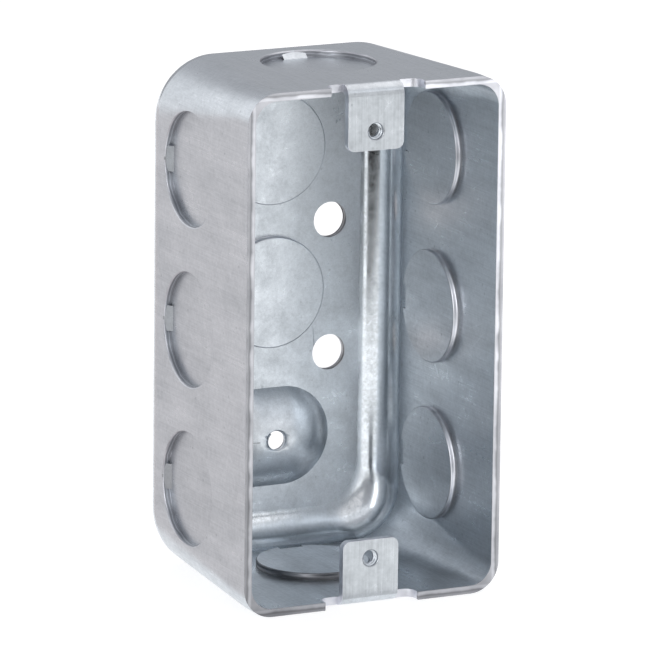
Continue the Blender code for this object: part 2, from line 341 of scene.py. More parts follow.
def turned_object(plan, name, profile, segments, place):
    form = to_mesh(turned_form(profile, segments), name, plan.crease_angle)
    return add_object(name, form, place)


def wall_frame(point, inward, across):
    """A frame on the outer face of a wall: Z into the box, X along the given direction."""
    z_axis = Vector(inward)
    x_axis = Vector(across)
    place = Matrix((x_axis, z_axis.cross(x_axis), z_axis)).transposed().to_4x4()
    place.translation = Vector(point)
    return place


def back_frame(plan, x, z):
    return wall_frame((x, plan.back_y, z), TOWARDS_FRONT, TOWARDS_LEFT)


# The drawn shell


def section(plan, half_x, half_z, radius, y):
    """One section of the drawn shell: a rectangle with round corners, square to Y."""
    ring = []
    for quarter, (side_x, side_z) in enumerate(((1, 1), (-1, 1), (-1, -1), (1, -1))):
        centre = (side_x * (half_x - radius), side_z * (half_z - radius))
        corner = arc_points(centre, radius, 90 * quarter, 90 * quarter + 90, plan.corner_steps)
        ring.extend(Vector((x, y, plan.middle_z + z)) for x, z in corner)
    return ring


def shell_sections(plan):
    """Sections from the rim to the flat back."""
    rings = [
        section(plan, plan.half_width, plan.half_length, plan.rim_corner_radius, plan.rim_y),
        section(plan, plan.half_width, plan.half_length, plan.rim_corner_radius, plan.apron_y),
    ]
    for step in range(plan.nose_steps + 1):
        angle = math.radians(90 * step / plan.nose_steps)
        turned_in = 1 - math.cos(angle)
        inset = plan.nose_radius * turned_in
        closing = plan.panel_corner_radius - plan.wall_corner_radius
        radius = plan.wall_corner_radius + closing * turned_in
        y = plan.nose_start_y + plan.nose_radius * math.sin(angle)
        rings.append(section(plan, plan.half_width - inset, plan.half_length - inset, radius, y))
    return rings


def notched_edge(plan):
    """The front edge of a short wall, across both relief notches and the root of the tab.

    Each point is (distance from the middle, distance from the rim)."""
    outer = plan.tab_half + plan.notch_width
    centre = (outer - plan.notch_corner_radius, plan.notch_depth - plan.notch_corner_radius)
    half = [(outer, 0.0)]
    half.extend(arc_points(centre, plan.notch_corner_radius, 0, 90, plan.round_edge_steps))
    half.append((plan.tab_half, plan.notch_depth))
    return half + [(-across, deep) for across, deep in reversed(half)]


def add_tab(plan, bm, top, corner_verts):
    """The front band of a short wall, and the tab that folds in from it.

    top is 1 for the upper wall and -1 for the lower one."""
    edge = [
        bm.verts.new((-top * across, plan.rim_y + deep, plan.middle_z + top * plan.half_length))
        for across, deep in notched_edge(plan)
    ]
    bm.faces.new(list(corner_verts) + edge)
    middle = len(edge) // 2
    row = [edge[middle - 1], edge[middle]]
    for step in range(1, plan.bend_steps + 1):
        angle = math.radians(90 * step / plan.bend_steps)
        y = plan.rim_y + plan.notch_depth - plan.tab_bend_radius * math.sin(angle)
        down = plan.tab_bend_radius * (1 - math.cos(angle))
        z = plan.middle_z + top * (plan.half_length - down)
        next_row = [bm.verts.new((-top * side * plan.tab_half, y, z)) for side in (1, -1)]
        bm.faces.new((row[1], row[0], next_row[0], next_row[1]))
        row = next_row
    end = plan.device_screw_spacing / 2 - plan.tab_past_screw
    centre = (plan.tab_half - plan.tab_corner_radius, end + plan.tab_corner_radius)
    half = arc_points(centre, plan.tab_corner_radius, 0, -90, plan.round_edge_steps)
    outline = half + [(-across, reach) for across, reach in reversed(half)]
    y = plan.rim_y + plan.tab_setback
    verts = [bm.verts.new((-top * across, y, plan.middle_z + top * reach)) for across, reach in outline]
    bm.faces.new([row[1], row[0]] + verts)


def drawn_surface(plan):
    """The outside of the drawn box and its tabs, as one open surface."""
    bm = bmesh.new()
    rings = [[bm.verts.new(point) for point in ring] for ring in shell_sections(plan)]
    count = len(rings[0])
    short_wall_starts = {plan.corner_steps: 1, 3 * plan.corner_steps + 2: -1}
    for number, (front, back) in enumerate(zip(rings, rings[1:])):
        for index in range(count):
            after = (index + 1) % count
            corners = (front[index], back[index], back[after], front[after])
            if number == 0 and index in short_wall_starts:
                add_tab(plan, bm, short_wall_starts[index], corners)
            else:
                bm.faces.new(corners)
    bm.faces.new(list(reversed(rings[-1])))
    return to_mesh(bm, "drawn_surface", plan.crease_angle)


# Forms that are pressed into the sheet or cut out of it


def rolled_entry(plan, radius, roll, roll_angle):
    """The rounded edge of a hole in the face z = 0, from its bore outwards."""
    points = []
    for step in range(plan.roll_steps + 1):
        turn = roll_angle * step / plan.roll_steps
        points.append((radius + roll * (1 - math.cos(turn)), roll * (1 - math.sin(turn))))
    reach, depth = points[-1]
    flare = reach + roll * math.sin(turn)
    return points + [(flare, depth - roll * math.cos(turn)), (flare, -plan.past_face)]


def tie_wedge(plan, outline):
    """A prism as wide as a knockout's tie, from an outline in the plane of X and Z."""
    bm = bmesh.new()
    side = bm.faces.new([bm.verts.new((x, -plan.knockout_tie_width / 2, z)) for x, z in outline])
    grown = bmesh.ops.extrude_face_region(bm, geom=[side])
    moved = [item for item in grown["geom"] if isinstance(item, bmesh.types.BMVert)]
    bmesh.ops.translate(bm, verts=moved, vec=(0, plan.knockout_tie_width, 0))
    bmesh.ops.recalc_face_normals(bm, faces=bm.faces)
    return bm


def without_wedge(plan, name, form, wedge):
    """A turned form with a wedge taken out of it."""
    body = add_object(name, to_mesh(form, name, plan.crease_angle))
    tool = add_object(name + "_wedge", to_mesh(wedge, name + "_wedge", plan.crease_angle))
    cut = body.modifiers.new("wedge", "BOOLEAN")
    cut.operation = "DIFFERENCE"
    cut.solver = "EXACT"
    cut.object = tool
    mesh = plain_copy(body, name)
    drop([body, tool])
    return add_object(name, mesh)


def knockout_slug(plan):
    """The disc that stands out inside the box, its edge rolled over, sloping down at its tie.

    Z points into the box from the outer face of the wall, and X towards the tie."""
    top = plan.sheet_thickness + plan.knockout_push
    root = plan.sheet_thickness - plan.knockout_neck / 2
    centre = (plan.knockout_radius - plan.knockout_roll_over, top - plan.knockout_roll_over)
    rolled = arc_points(centre, plan.knockout_roll_over, 0, 90, plan.roll_steps)
    form = turned_form([(plan.knockout_radius, root)] + rolled, plan.knockout_segments)
    foot = plan.knockout_radius - plan.knockout_neck / 2
    head = foot - plan.knockout_tie_run
    low = root - plan.knockout_neck / 2
    high = top + plan.past_face
    far = plan.knockout_radius + plan.past_face
    sunk_foot = foot + plan.tie_slope * (plan.sheet_thickness - low)
    outline = [(sunk_foot, low), (head, top), (head, high), (far, high), (far, low)]
    return without_wedge(plan, "knockout_slug", form, tie_wedge(plan, outline))


def knockout_recess(plan):
    """What the pushed disc leaves open outside: a pocket with a rolled edge, and a ramp at the tie."""
    roll = plan.knockout_roll_over
    entry = rolled_entry(plan, plan.knockout_radius, roll, plan.knockout_roll_angle)
    form = turned_form([(plan.knockout_radius, plan.knockout_push)] + entry, plan.knockout_segments)
    foot = plan.knockout_radius + roll
    head = foot - plan.knockout_tie_run
    low = plan.knockout_push + plan.past_face
    high = -2 * plan.past_face
    raised_foot = foot - plan.tie_slope * high
    far = raised_foot + plan.past_face
    outline = [(head, low), (head, plan.knockout_push), (raised_foot, high), (far, high), (far, low)]
    return without_wedge(plan, "knockout_recess", form, tie_wedge(plan, outline))


def knockout_rows(plan):
    """Each row of knockouts: the frame of its first one, how many it has, and their pitch.

    A row runs along the frame's Y axis: up the left wall, down the right wall and the back."""
    inset_y = plan.rim_y + plan.wall_knockout_inset
    wall_low = plan.middle_z + plan.wall_knockout_rise - plan.wall_knockout_pitch
    wall_high = wall_low + 2 * plan.wall_knockout_pitch
    back_low = plan.middle_z + plan.back_knockout_rise
    back_high = back_low + plan.back_knockout_pitch
    left = wall_frame((-plan.half_width, inset_y, wall_low), (1, 0, 0), TOWARDS_BACK)
    right = wall_frame((plan.half_width, inset_y, wall_high), (-1, 0, 0), TOWARDS_BACK)
    top = wall_frame((0, inset_y, plan.box_length), (0, 0, -1), TOWARDS_BACK)
    bottom = wall_frame((0, inset_y, 0), (0, 0, 1), TOWARDS_BACK)
    rows = {
        "left": (left, 3, plan.wall_knockout_pitch),
        "right": (right, 3, plan.wall_knockout_pitch),
        "top": (top, 1, plan.wall_knockout_pitch),
        "bottom": (bottom, 1, plan.wall_knockout_pitch),
        "back": (back_frame(plan, 0, back_high), 2, plan.back_knockout_pitch),
    }
    return rows


def long_cap(plan, name, cap_radius, base_radius, base_z, foot_z):
    """A long spherical cap that stands on z = base_z, closed at foot_z below it."""
    base_angle = math.asin(base_radius / cap_radius)
    sphere_z = base_z - cap_radius * math.cos(base_angle)
    profile = [(base_radius, foot_z)]
    for step in range(plan.dome_steps):
        angle = base_angle * (1 - step / plan.dome_steps)
        profile.append((cap_radius * math.sin(angle), sphere_z + cap_radius * math.cos(angle)))
    bm = turned_form(profile, plan.dome_segments)
    straight = (plan.ground_seat_length - plan.ground_seat_height) / 2
    for vert in bm.verts:
        vert.co.x += math.copysign(straight, vert.co.x)
    return to_mesh(bm, name, plan.crease_angle)


def ground_seat_tools(plan):
    """The dome inside the box, the hollow behind it and the screw's hole."""
    place = back_frame(plan, 0, plan.middle_z - plan.ground_seat_drop)
    sheet = plan.sheet_thickness
    base_radius = plan.ground_seat_height / 2
    cap_radius = (base_radius ** 2 + plan.ground_seat_rise ** 2) / (2 * plan.ground_seat_rise)
    dome = long_cap(plan, "ground_dome", cap_radius, base_radius, sheet, sheet / 2)
    hollow_radius = cap_radius - sheet
    hollow_drop = cap_radius - plan.ground_seat_rise - sheet
    hollow_base = math.sqrt(hollow_radius ** 2 - hollow_drop ** 2)
    hollow = long_cap(plan, "ground_hollow", hollow_radius, hollow_base, 0.0, -plan.past_face)
    bore = plan.ground_screw_bore / 2
    wide = bore + plan.ground_screw_chamfer
    crown = sheet + plan.ground_seat_rise
    profile = [(bore, -plan.past_face), (bore, crown - plan.ground_screw_chamfer), (wide, crown)]
    profile.append((wide, crown + plan.past_face))
    raised = [add_object("ground_dome", dome, place)]
    cut = [add_object("ground_hollow", hollow, place)]
    cut.append(turned_object(plan, "ground_hole", profile, plan.hole_segments, place))
    return raised, cut


def device_frame(plan, side):
    z = plan.middle_z + side * plan.device_screw_spacing / 2
    return wall_frame((0, plan.rim_y + plan.tab_setback, z), TOWARDS_BACK, TOWARDS_LEFT)


def device_hole_tools(plan):
    """A formed collar behind each tab, and the hole through it with a rolled entry."""
    bore = plan.device_screw_bore / 2
    collar = plan.device_collar_diameter / 2
    collar_end = plan.sheet_thickness + plan.device_collar_height
    tube = [(collar, plan.sheet_thickness / 2), (collar, collar_end)]
    hole = [(bore, collar_end + plan.past_face)]
    hole.extend(rolled_entry(plan, bore, plan.device_hole_roll_over, plan.device_hole_roll_angle))
    raised, cut = [], []
    for name, side in (("upper", 1), ("lower", -1)):
        place = device_frame(plan, side)
        for kind, profile, group in (("collar", tube, raised), ("hole", hole, cut)):
            label = f"device_{kind}_{name}"
            group.append(turned_object(plan, label, profile, plan.hole_segments, place))
    return raised, cut


def mounting_hole_tools(plan):
    radius = plan.mounting_hole_diameter / 2
    profile = [(radius, -plan.past_face), (radius, plan.sheet_thickness + plan.past_face)]
    tools = []
    for name, row in (("upper", 0), ("lower", 1)):
        z = plan.middle_z + plan.mounting_hole_rise - row * plan.mounting_hole_pitch
        place = back_frame(plan, plan.mounting_hole_offset, z)
        label = "mounting_hole_" + name
        tools.append(turned_object(plan, label, profile, plan.hole_segments, place))
    return tools


# Geometry Nodes


def new_tree(name, inputs):
    """An empty modifier tree with a geometry input and output and the named inputs."""
    tree = bpy.data.node_groups.new(name, "GeometryNodeTree")
    tree.is_modifier = True
    tree.interface.new_socket("Geometry", in_out="INPUT", socket_type="NodeSocketGeometry")
    tree.interface.new_socket("Geometry", in_out="OUTPUT", socket_type="NodeSocketGeometry")
    for label, kind in inputs:
        tree.interface.new_socket(label, in_out="INPUT", socket_type="NodeSocket" + kind)
    return tree


def add_node(tree, kind, links=None, **settings):
    """A node with its settings, its inputs linked to sockets or set to values."""
    node = tree.nodes.new(kind)
    for name, value in settings.items():
        setattr(node, name, value)
    for name, value in (links or {}).items():
        socket = node.inputs[name]
        if isinstance(value, bpy.types.NodeSocket):
            tree.links.new(value, socket)
        else:
            socket.default_value = value
    return node


def calculate(tree, operation, first, second):
    return add_node(tree, "ShaderNodeMath", {0: first, 1: second}, operation=operation).outputs[0]


def run_tree(item, tree, values):
    """Puts a tree on an object, with its inputs set by the sockets' identifiers."""
    step = item.modifiers.new(tree.name, "NODES")
    step.node_group = tree
    for socket in tree.interface.items_tree:
        if socket.in_out == "INPUT" and socket.name in values:
            step[socket.identifier] = values[socket.name]
    item.update_tag()


def close_tree(tree, geometry, material):
    """Makes a tree's geometry real, gives it a material and puts it out."""
    real = add_node(tree, "GeometryNodeRealizeInstances", {"Geometry": geometry})
    links = {"Geometry": real.outputs[0], "Material": material}
    painted = add_node(tree, "GeometryNodeSetMaterial", links)
    add_node(tree, "NodeGroupOutput", {0: painted.outputs[0]})
    return tree


def row_tree():
    """Copies of a form along Y, a pitch apart."""
    inputs = [("Form", "Object"), ("Count", "Int"), ("Pitch", "Float"), ("Material", "Material")]
    tree = new_tree("row_of_forms", inputs)
    group = add_node(tree, "NodeGroupInput").outputs
    form = add_node(tree, "GeometryNodeObjectInfo", {"Object": group["Form"]})
    step = add_node(tree, "ShaderNodeCombineXYZ", {"Y": group["Pitch"]})
    line = add_node(tree, "GeometryNodeMeshLine", {"Count": group["Count"], "Offset": step.outputs[0]})
    links = {"Points": line.outputs[0], "Instance": form.outputs["Geometry"]}
    copies = add_node(tree, "GeometryNodeInstanceOnPoints", links)
    return close_tree(tree, copies.outputs[0], group["Material"])


# The share of a thread's height by which its foot is sunk into the bore
THREAD_SUNK = 0.4


def thread_tree():
    """The ridge of a screw thread: a flat-topped profile swept up a helix."""
    sizes = ["Radius", "Pitch", "Height", "Crest", "Root", "Turns"]
    inputs = [(label, "Float") for label in sizes] + [("Segments", "Int"), ("Material", "Material")]
    tree = new_tree("screw_thread", inputs)
    group = add_node(tree, "NodeGroupInput").outputs

    def product(first, second):
        return calculate(tree, "MULTIPLY", first, second)

    rise = product(group["Pitch"], group["Turns"])
    helix = add_node(tree, "GeometryNodeCurveSpiral", {
        "Resolution": group["Segments"], "Rotations": group["Turns"],
        "Start Radius": group["Radius"], "End Radius": group["Radius"], "Height": rise,
    })
    upright = add_node(tree, "GeometryNodeSetCurveNormal", {"Curve": helix.outputs[0]}, mode="Z_UP")
    half_root = product(group["Root"], 0.5)
    half_crest = product(group["Crest"], 0.5)
    sunk = product(group["Height"], -THREAD_SUNK)
    corners = []
    for across, along, sign in (
        (sunk, half_root, 1), (group["Height"], half_crest, 1),
        (group["Height"], half_crest, -1), (sunk, half_root, -1),
    ):
        side = product(along, sign)
        corners.append(add_node(tree, "ShaderNodeCombineXYZ", {"X": across, "Y": side}).outputs[0])
    names = ["Point 1", "Point 2", "Point 3", "Point 4"]
    profile = add_node(tree, "GeometryNodeCurvePrimitiveQuadrilateral", mode="POINTS")
    for name, corner in zip(names, corners):
        tree.links.new(corner, profile.inputs[name])
    links = {"Curve": upright.outputs[0], "Profile Curve": profile.outputs[0], "Fill Caps": True}
    swept = add_node(tree, "GeometryNodeCurveToMesh", links)
    return close_tree(tree, swept.outputs[0], group["Material"])


# Finish


class NodeKit:
    """Short calls for the nodes of one shader tree."""

    def __init__(self, tree):
        self.tree = tree
        self.place = add_node(tree, "ShaderNodeTexCoord").outputs["Object"]

    def value(self, kind, links, output=0, **settings):
        return add_node(self.tree, kind, links, **settings).outputs[output]

    def maths(self, operation, first, second):
        return calculate(self.tree, operation, first, second)

    def spread(self, source, low, high, to_low=0.0, to_high=1.0):
        links = {"Value": source, "From Min": low, "From Max": high, "To Min": to_low, "To Max": to_high}
        return self.value("ShaderNodeMapRange", links)

    def swing(self, noise, depth):
        """A noise as a change of tone, as far down as up."""
        return self.maths("MULTIPLY", self.spread(noise, NOISE_LOW, NOISE_HIGH, -1.0, 1.0), depth)

    def total(self, parts):
        result = parts[0]
        for part in parts[1:]:
            result = self.maths("ADD", result, part)
        return result

    def mix(self, factor, first, second):
        return self.value("ShaderNodeMix", {"Factor": factor, 2: first, 3: second}, data_type="FLOAT")

    def blend(self, factor, first, second, mode="MIX"):
        links = {"Factor": factor, 6: first, 7: second}
        return self.value("ShaderNodeMix", links, 2, data_type="RGBA", blend_type=mode)

    def stretched(self, widths, turn=(0.0, 0.0, 0.0)):
        """Object coordinates, turned, and divided by a width in metres along each axis."""
        links = {"Vector": self.place, "Rotation": turn}
        turned = self.value("ShaderNodeMapping", links, vector_type="TEXTURE")
        links = {"Vector": turned, "Scale": [1 / width for width in widths]}
        return self.value("ShaderNodeMapping", links)

    def noise(self, widths, detail=2.0, roughness=0.5, distortion=0.0):
        links = {
            "Vector": self.stretched(widths), "Scale": 1.0, "Detail": detail,
            "Roughness": roughness, "Distortion": distortion,
        }
        return self.value("ShaderNodeTexNoise", links)

    def cells(self, widths, feature, turn=(0.0, 0.0, 0.0), output="Distance"):
        links = {"Vector": self.stretched(widths, turn), "Scale": 1.0}
        return self.value("ShaderNodeTexVoronoi", links, output, feature=feature)

    def attribute(self, name):
        return self.value("ShaderNodeAttribute", {}, "Fac", attribute_name=name)

    def inset(self, axis, middle, half):
        """How far a point lies inside the box's two faces across an axis."""
        parts = self.value("ShaderNodeSeparateXYZ", {"Vector": self.place}, axis)
        away = self.maths("ABSOLUTE", self.maths("SUBTRACT", parts, middle), 0.0)
        return self.maths("SUBTRACT", half, away)

    def bands(self, depth, span, stops):
        """Grey bands by depth: each stop is (depth in metres, level)."""
        ramp = add_node(self.tree, "ShaderNodeValToRGB", {"Fac": self.spread(depth, 0.0, span)})
        points = ramp.color_ramp.elements
        while len(points) < len(stops):
            points.new(1.0)
        for point, (at, level) in zip(points, stops):
            point.position = at / span
            point.color = (level, level, level, 1.0)
        return ramp.outputs["Color"]


# Most of a noise lies between these two values
NOISE_LOW, NOISE_HIGH = 0.3, 0.7
# Where the specks, the scratches and the worn places fade out, in the units of their own textures
SPECK_FADE = (0.05, 0.11)
SCRATCH_FADE = (0.004, 0.012)
WORN_FADE = (0.52, 0.62)
FLECK_FADE = (0.35, 0.65)
# The tone that gives the brightest plate; the dullest lies as far below zero
TONE_REACH = 0.5
SCRATCH_STRETCH = 9
SCRATCH_TURN = (0.35, 0.2, 0.5)
# How much of the fine relief comes from the grain, the rest from the draw marks
GRAIN_SHARE = 0.6

# Sheared metal, by depth from the outer face: rolled edge, burnished band, tear, and at last the
# disc's own edge. The levels are partly the metal's own and partly painted highlight and shade,
# the bright and dark lines that light makes along these edges
SHEAR_BANDS = (
    (0.0, 0.78), (0.3 * MM, 0.82), (0.42 * MM, 0.45), (0.75 * MM, 0.55), (0.85 * MM, 0.95),
    (0.95 * MM, 0.5), (1.4 * MM, 0.45), (1.55 * MM, 0.98), (3.0 * MM, 0.98), (3.1 * MM, 0.6),
)
SHEAR_SPAN = 3.2 * MM
# Painted shadow on the lowest disc's sheared edge, up to this height
SHADED_TOP = 3.1 * MM
SHADED_LEVEL = 0.35
SHADE_FADE = 0.2 * MM
# Brightness of the notches beside the tabs
NOTCH_LEVEL = 1.1
RIM_FADE = 0.1 * MM
# Painted highlight and shade across the rim, from its outer edge to its inner one: a dark line inside
# the outer rounding and a bright band near the inner edge
RIM_LIGHT_BANDS = (
    (0.0, 0.82), (0.4 * MM, 0.74), (0.6 * MM, 0.52), (0.78 * MM, 0.6),
    (1.0 * MM, 1.0), (1.35 * MM, 1.12), (1.6 * MM, 0.85),
)


def even(width):
    return (width, width, width)


def sheet_tone(kit, plan, grain, streak, worn, folded):
    """How much brighter or duller than its mean the plated sheet is."""
    patches = kit.noise(even(plan.patch_size), detail=4.0, roughness=0.6, distortion=0.6)
    long_patch = (plan.patch_size / 2, plan.patch_size * 3, plan.patch_size / 2)
    smears = kit.noise(long_patch, detail=3.0, roughness=0.6)
    specks = kit.cells(even(plan.speck_spacing), "F1")
    spacing = plan.scratch_spacing
    long_cells = (spacing, spacing * SCRATCH_STRETCH, spacing)
    scratches = kit.cells(long_cells, "DISTANCE_TO_EDGE", SCRATCH_TURN)
    scratch = kit.spread(scratches, *SCRATCH_FADE, 1.0, 0.0)
    scratch = kit.maths("MULTIPLY", scratch, kit.spread(worn, *WORN_FADE))
    parts = [
        kit.swing(grain, plan.grain_depth),
        kit.swing(patches, plan.patch_depth),
        kit.swing(streak, kit.mix(folded, plan.streak_depth, plan.tab_streak_depth)),
        kit.swing(smears, plan.smear_depth),
        kit.maths("MULTIPLY", kit.spread(specks, *SPECK_FADE, 1.0, 0.0), -plan.speck_depth),
        kit.maths("MULTIPLY", scratch, plan.scratch_depth),
    ]
    return kit.total(parts)


def sheet_colour(kit, plan, tone, folded):
    """The plated sheet, with painted light on the discs, the tabs and the ties: each is made brighter or
    darker as a whole, for how light falls on it.
    """
    dull, bright = (*plan.dull_colour, 1.0), (*plan.zinc_colour, 1.0)
    plate = kit.blend(kit.spread(tone, -TONE_REACH, TONE_REACH), dull, bright)
    share = kit.mix(kit.attribute("pushed_disc"), 1.0, plan.disc_level)
    share = kit.mix(folded, share, plan.tab_level)
    share = kit.mix(kit.attribute("wall_tie"), share, plan.tie_level)
    return kit.blend(1.0, plate, share, "MULTIPLY")


def rim_painted_light(kit, plan, uneven, side):
    """Painted light and shade on the rim: bands of highlight and shade across it, and brighter from the
    lower left to the upper right.
    """
    bands = kit.bands(kit.maths("ADD", side, uneven), plan.sheet_thickness, RIM_LIGHT_BANDS)
    from_left = kit.inset("X", plan.half_width, plan.box_width)
    from_low = kit.inset("Z", plan.box_length, plan.box_length)
    across = kit.spread(from_left, 0.0, plan.box_width, plan.rim_left, plan.rim_right)
    up = kit.spread(from_low, 0.0, plan.box_length, plan.rim_low, plan.rim_high)
    return kit.blend(1.0, bands, kit.maths("MULTIPLY", across, up), "MULTIPLY")


def cut_colour(kit, plan, worn):
    """Sheared metal: flecked, plain in the notches, banded on the rim with painted highlight and shade,
    banded round the discs partly by burnish and tear and partly with painted highlight and shade, and
    with a painted shadow on the lowest disc's edge.
    """
    dull, bright = (*plan.cut_colour, 1.0), (*plan.cut_bright_colour, 1.0)
    flecked = kit.blend(kit.spread(worn, *FLECK_FADE), dull, bright)
    from_side = kit.inset("X", 0.0, plan.half_width)
    from_end = kit.inset("Z", plan.middle_z, plan.half_length)
    side = kit.maths("MINIMUM", from_side, from_end)
    across = kit.inset("Y", 0.0, plan.box_depth / 2)
    uneven = kit.swing(worn, plan.band_spread)
    depth = kit.maths("ADD", kit.maths("MINIMUM", side, across), uneven)
    shear = kit.bands(depth, SHEAR_SPAN, SHEAR_BANDS)
    # Painted shadow: the sheared edges near the bottom, at the lowest disc, are darkened up to
    # SHADED_TOP
    height = kit.inset("Z", plan.box_length, plan.box_length)
    shade = kit.spread(height, SHADED_TOP, SHADED_TOP + SHADE_FADE, SHADED_LEVEL, 1.0)
    shear = kit.blend(1.0, shear, shade, "MULTIPLY")
    from_rim = kit.inset("Y", plan.back_y, plan.box_depth)
    at_rim = kit.spread(from_rim, plan.edge_break, plan.edge_break + RIM_FADE, 1.0, 0.0)
    front = kit.blend(at_rim, (*even(NOTCH_LEVEL), 1.0), rim_painted_light(kit, plan, uneven, side))
    tab_depth = plan.notch_depth + plan.sheet_thickness
    past_tabs = kit.spread(from_rim, tab_depth, 2 * plan.notch_depth)
    return kit.blend(1.0, flecked, kit.blend(past_tabs, front, shear), "MULTIPLY")


def zinc_plate(plan):
    """Dull zinc-plated sheet: mottled, streaked, faintly wavy, with brighter cut edges, and painted
    light and shade on the discs, the tabs, the ties, the rim and the sheared edges.
    """
    material = bpy.data.materials.get("zinc_plate_finish")
    if material is not None:
        return material
    material = bpy.data.materials.new("zinc_plate_finish")
    material.use_nodes = True
    tree = material.node_tree
    shader = tree.nodes["Principled BSDF"]
    shader.inputs["Metallic"].default_value = 1.0
    kit = NodeKit(tree)
    folded = kit.attribute("folded")
    cut = kit.attribute("cut_edge")
    grain = kit.noise(even(plan.grain_size), detail=4.0, roughness=0.7)
    thin, far = plan.streak_width, plan.streak_length
    wall_streak = kit.noise((thin, far, thin), roughness=0.6)
    tab_streak = kit.noise((thin, thin, far), roughness=0.6)
    streak = kit.mix(folded, wall_streak, tab_streak)
    worn = kit.noise(even(plan.patch_size / 2))
    tone = sheet_tone(kit, plan, grain, streak, worn, folded)
    plate = sheet_colour(kit, plan, tone, folded)
    colours = kit.blend(cut, plate, cut_colour(kit, plan, worn))
    tree.links.new(colours, shader.inputs["Base Color"])

    level = kit.mix(kit.attribute("worked"), plan.roughness, plan.worked_roughness)
    level = kit.mix(cut, level, plan.cut_roughness)
    rough = kit.maths("SUBTRACT", level, kit.maths("MULTIPLY", tone, plan.roughness_spread))
    tree.links.new(rough, shader.inputs["Roughness"])

    waves = kit.noise(even(plan.wave_size), detail=1.0)
    low = kit.value("ShaderNodeBump", {"Height": waves, "Distance": plan.wave_height, "Strength": 1.0})
    grain_part = kit.maths("MULTIPLY", grain, GRAIN_SHARE)
    streak_part = kit.maths("MULTIPLY", streak, 1 - GRAIN_SHARE)
    relief = kit.maths("ADD", grain_part, streak_part)
    links = {"Height": relief, "Distance": plan.scratch_height, "Strength": 1.0, "Normal": low}
    tree.links.new(kit.value("ShaderNodeBump", links), shader.inputs["Normal"])
    return material


# Operators


def sheet_materials():
    """Markers that tell the sheet, its sheared edges, the ties and the discs apart for a while."""
    names = ("sheet_face", "sheared_face", "tie_face", "disc_face")
    return [bpy.data.materials.get(name) or bpy.data.materials.new(name) for name in names]


def flag_sheared_faces(tool, is_knockout):
    """Puts the faces of a tool that leave sheared metal in the second material slot.

    A knockout's tie slopes towards X. It goes in the third slot, and the disc in the fourth."""
    steep = ROLLED if is_knockout else STEEP
    flat = 3 if is_knockout else 0
    tool.data.materials.clear()
    for material in sheet_materials():
        tool.data.materials.append(material)
    for face in tool.data.polygons:
        normal = face.normal
        tie = abs(normal.y) < LEVEL and normal.x > LEVEL and abs(normal.z) > STEEP
        sheared = abs(normal.z) < steep
        face.material_index = 2 if tie else (1 if sheared else flat)


def combine(item, operation, tools, knockouts):
    """Unites the tools with an object, or cuts them out of it."""
    for tool in tools:
        flag_sheared_faces(tool, tool in knockouts)
        step = item.modifiers.new(tool.name, "BOOLEAN")
        step.operation = operation
        step.solver = "EXACT"
        step.object = tool


def knockout_tools(plan, material):
    """The rows of raised discs and of recesses, as objects with a Geometry Nodes tree each."""
    tree = row_tree()
    forms = {"slug": knockout_slug(plan), "recess": knockout_recess(plan)}
    made = {"slug": [], "recess": []}
    for row_name, (place, count, pitch) in knockout_rows(plan).items():
        for kind, form in forms.items():
            label = f"{kind}s_{row_name}"
            row = add_object(label, bpy.data.meshes.new(label), place)
            values = {"Form": form, "Count": count, "Pitch": pitch, "Material": material}
            run_tree(row, tree, values)
            mesh = plain_copy(row, label)
            drop([row])
            mesh.set_sharp_from_angle(angle=plan.crease_angle)
            made[kind].append(add_object(label, mesh, place))
    drop(forms.values())
    return made["slug"], made["recess"]


class HANDYBOX_OT_drawn_box(bpy.types.Operator):
    """Make the drawn box with its tabs, knockouts, mounting holes and ground seat"""

    bl_idname = "handybox.drawn_box"
    bl_label = "Drawn box"

    def execute(self, context):
        plan = read_plan(context.scene)
        material = zinc_plate(plan)
        draft = add_object("draft", drawn_surface(plan))
        for side in sheet_materials():
            draft.data.materials.append(side)
        shell = draft.modifiers.new("sheet", "SOLIDIFY")
        shell.thickness = plan.sheet_thickness
        shell.offset = -1
        shell.use_even_offset = True
        shell.use_quality_normals = True
        shell.material_offset_rim = 1
        edges = draft.modifiers.new("broken_edges", "BEVEL")
        edges.width = plan.edge_break
        edges.segments = plan.bevel_segments
        edges.limit_method = "ANGLE"
        edges.angle_limit = plan.broken_edge_angle
        edges.material = 1
        slugs, recesses = knockout_tools(plan, material)
        dome, seat_cuts = ground_seat_tools(plan)
        collars, holes = device_hole_tools(plan)
        raised = slugs + dome + collars
        cut = recesses + seat_cuts + holes + mounting_hole_tools(plan)
        combine(draft, "UNION", raised, slugs)
        combine(draft, "DIFFERENCE", cut, recesses)
        shading = draft.modifiers.new("even_shading", "WEIGHTED_NORMAL")
        shading.keep_sharp = True
        mesh = plain_copy(draft, "zinc_plated_box")
        drop([draft] + raised + cut)
        mark_surfaces(plan, mesh)
        mesh.materials.clear()
        mesh.materials.append(material)
        box = add_object("zinc_plated_box", mesh)
        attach(box, BODY)
        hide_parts(NODE)
        return {"FINISHED"}


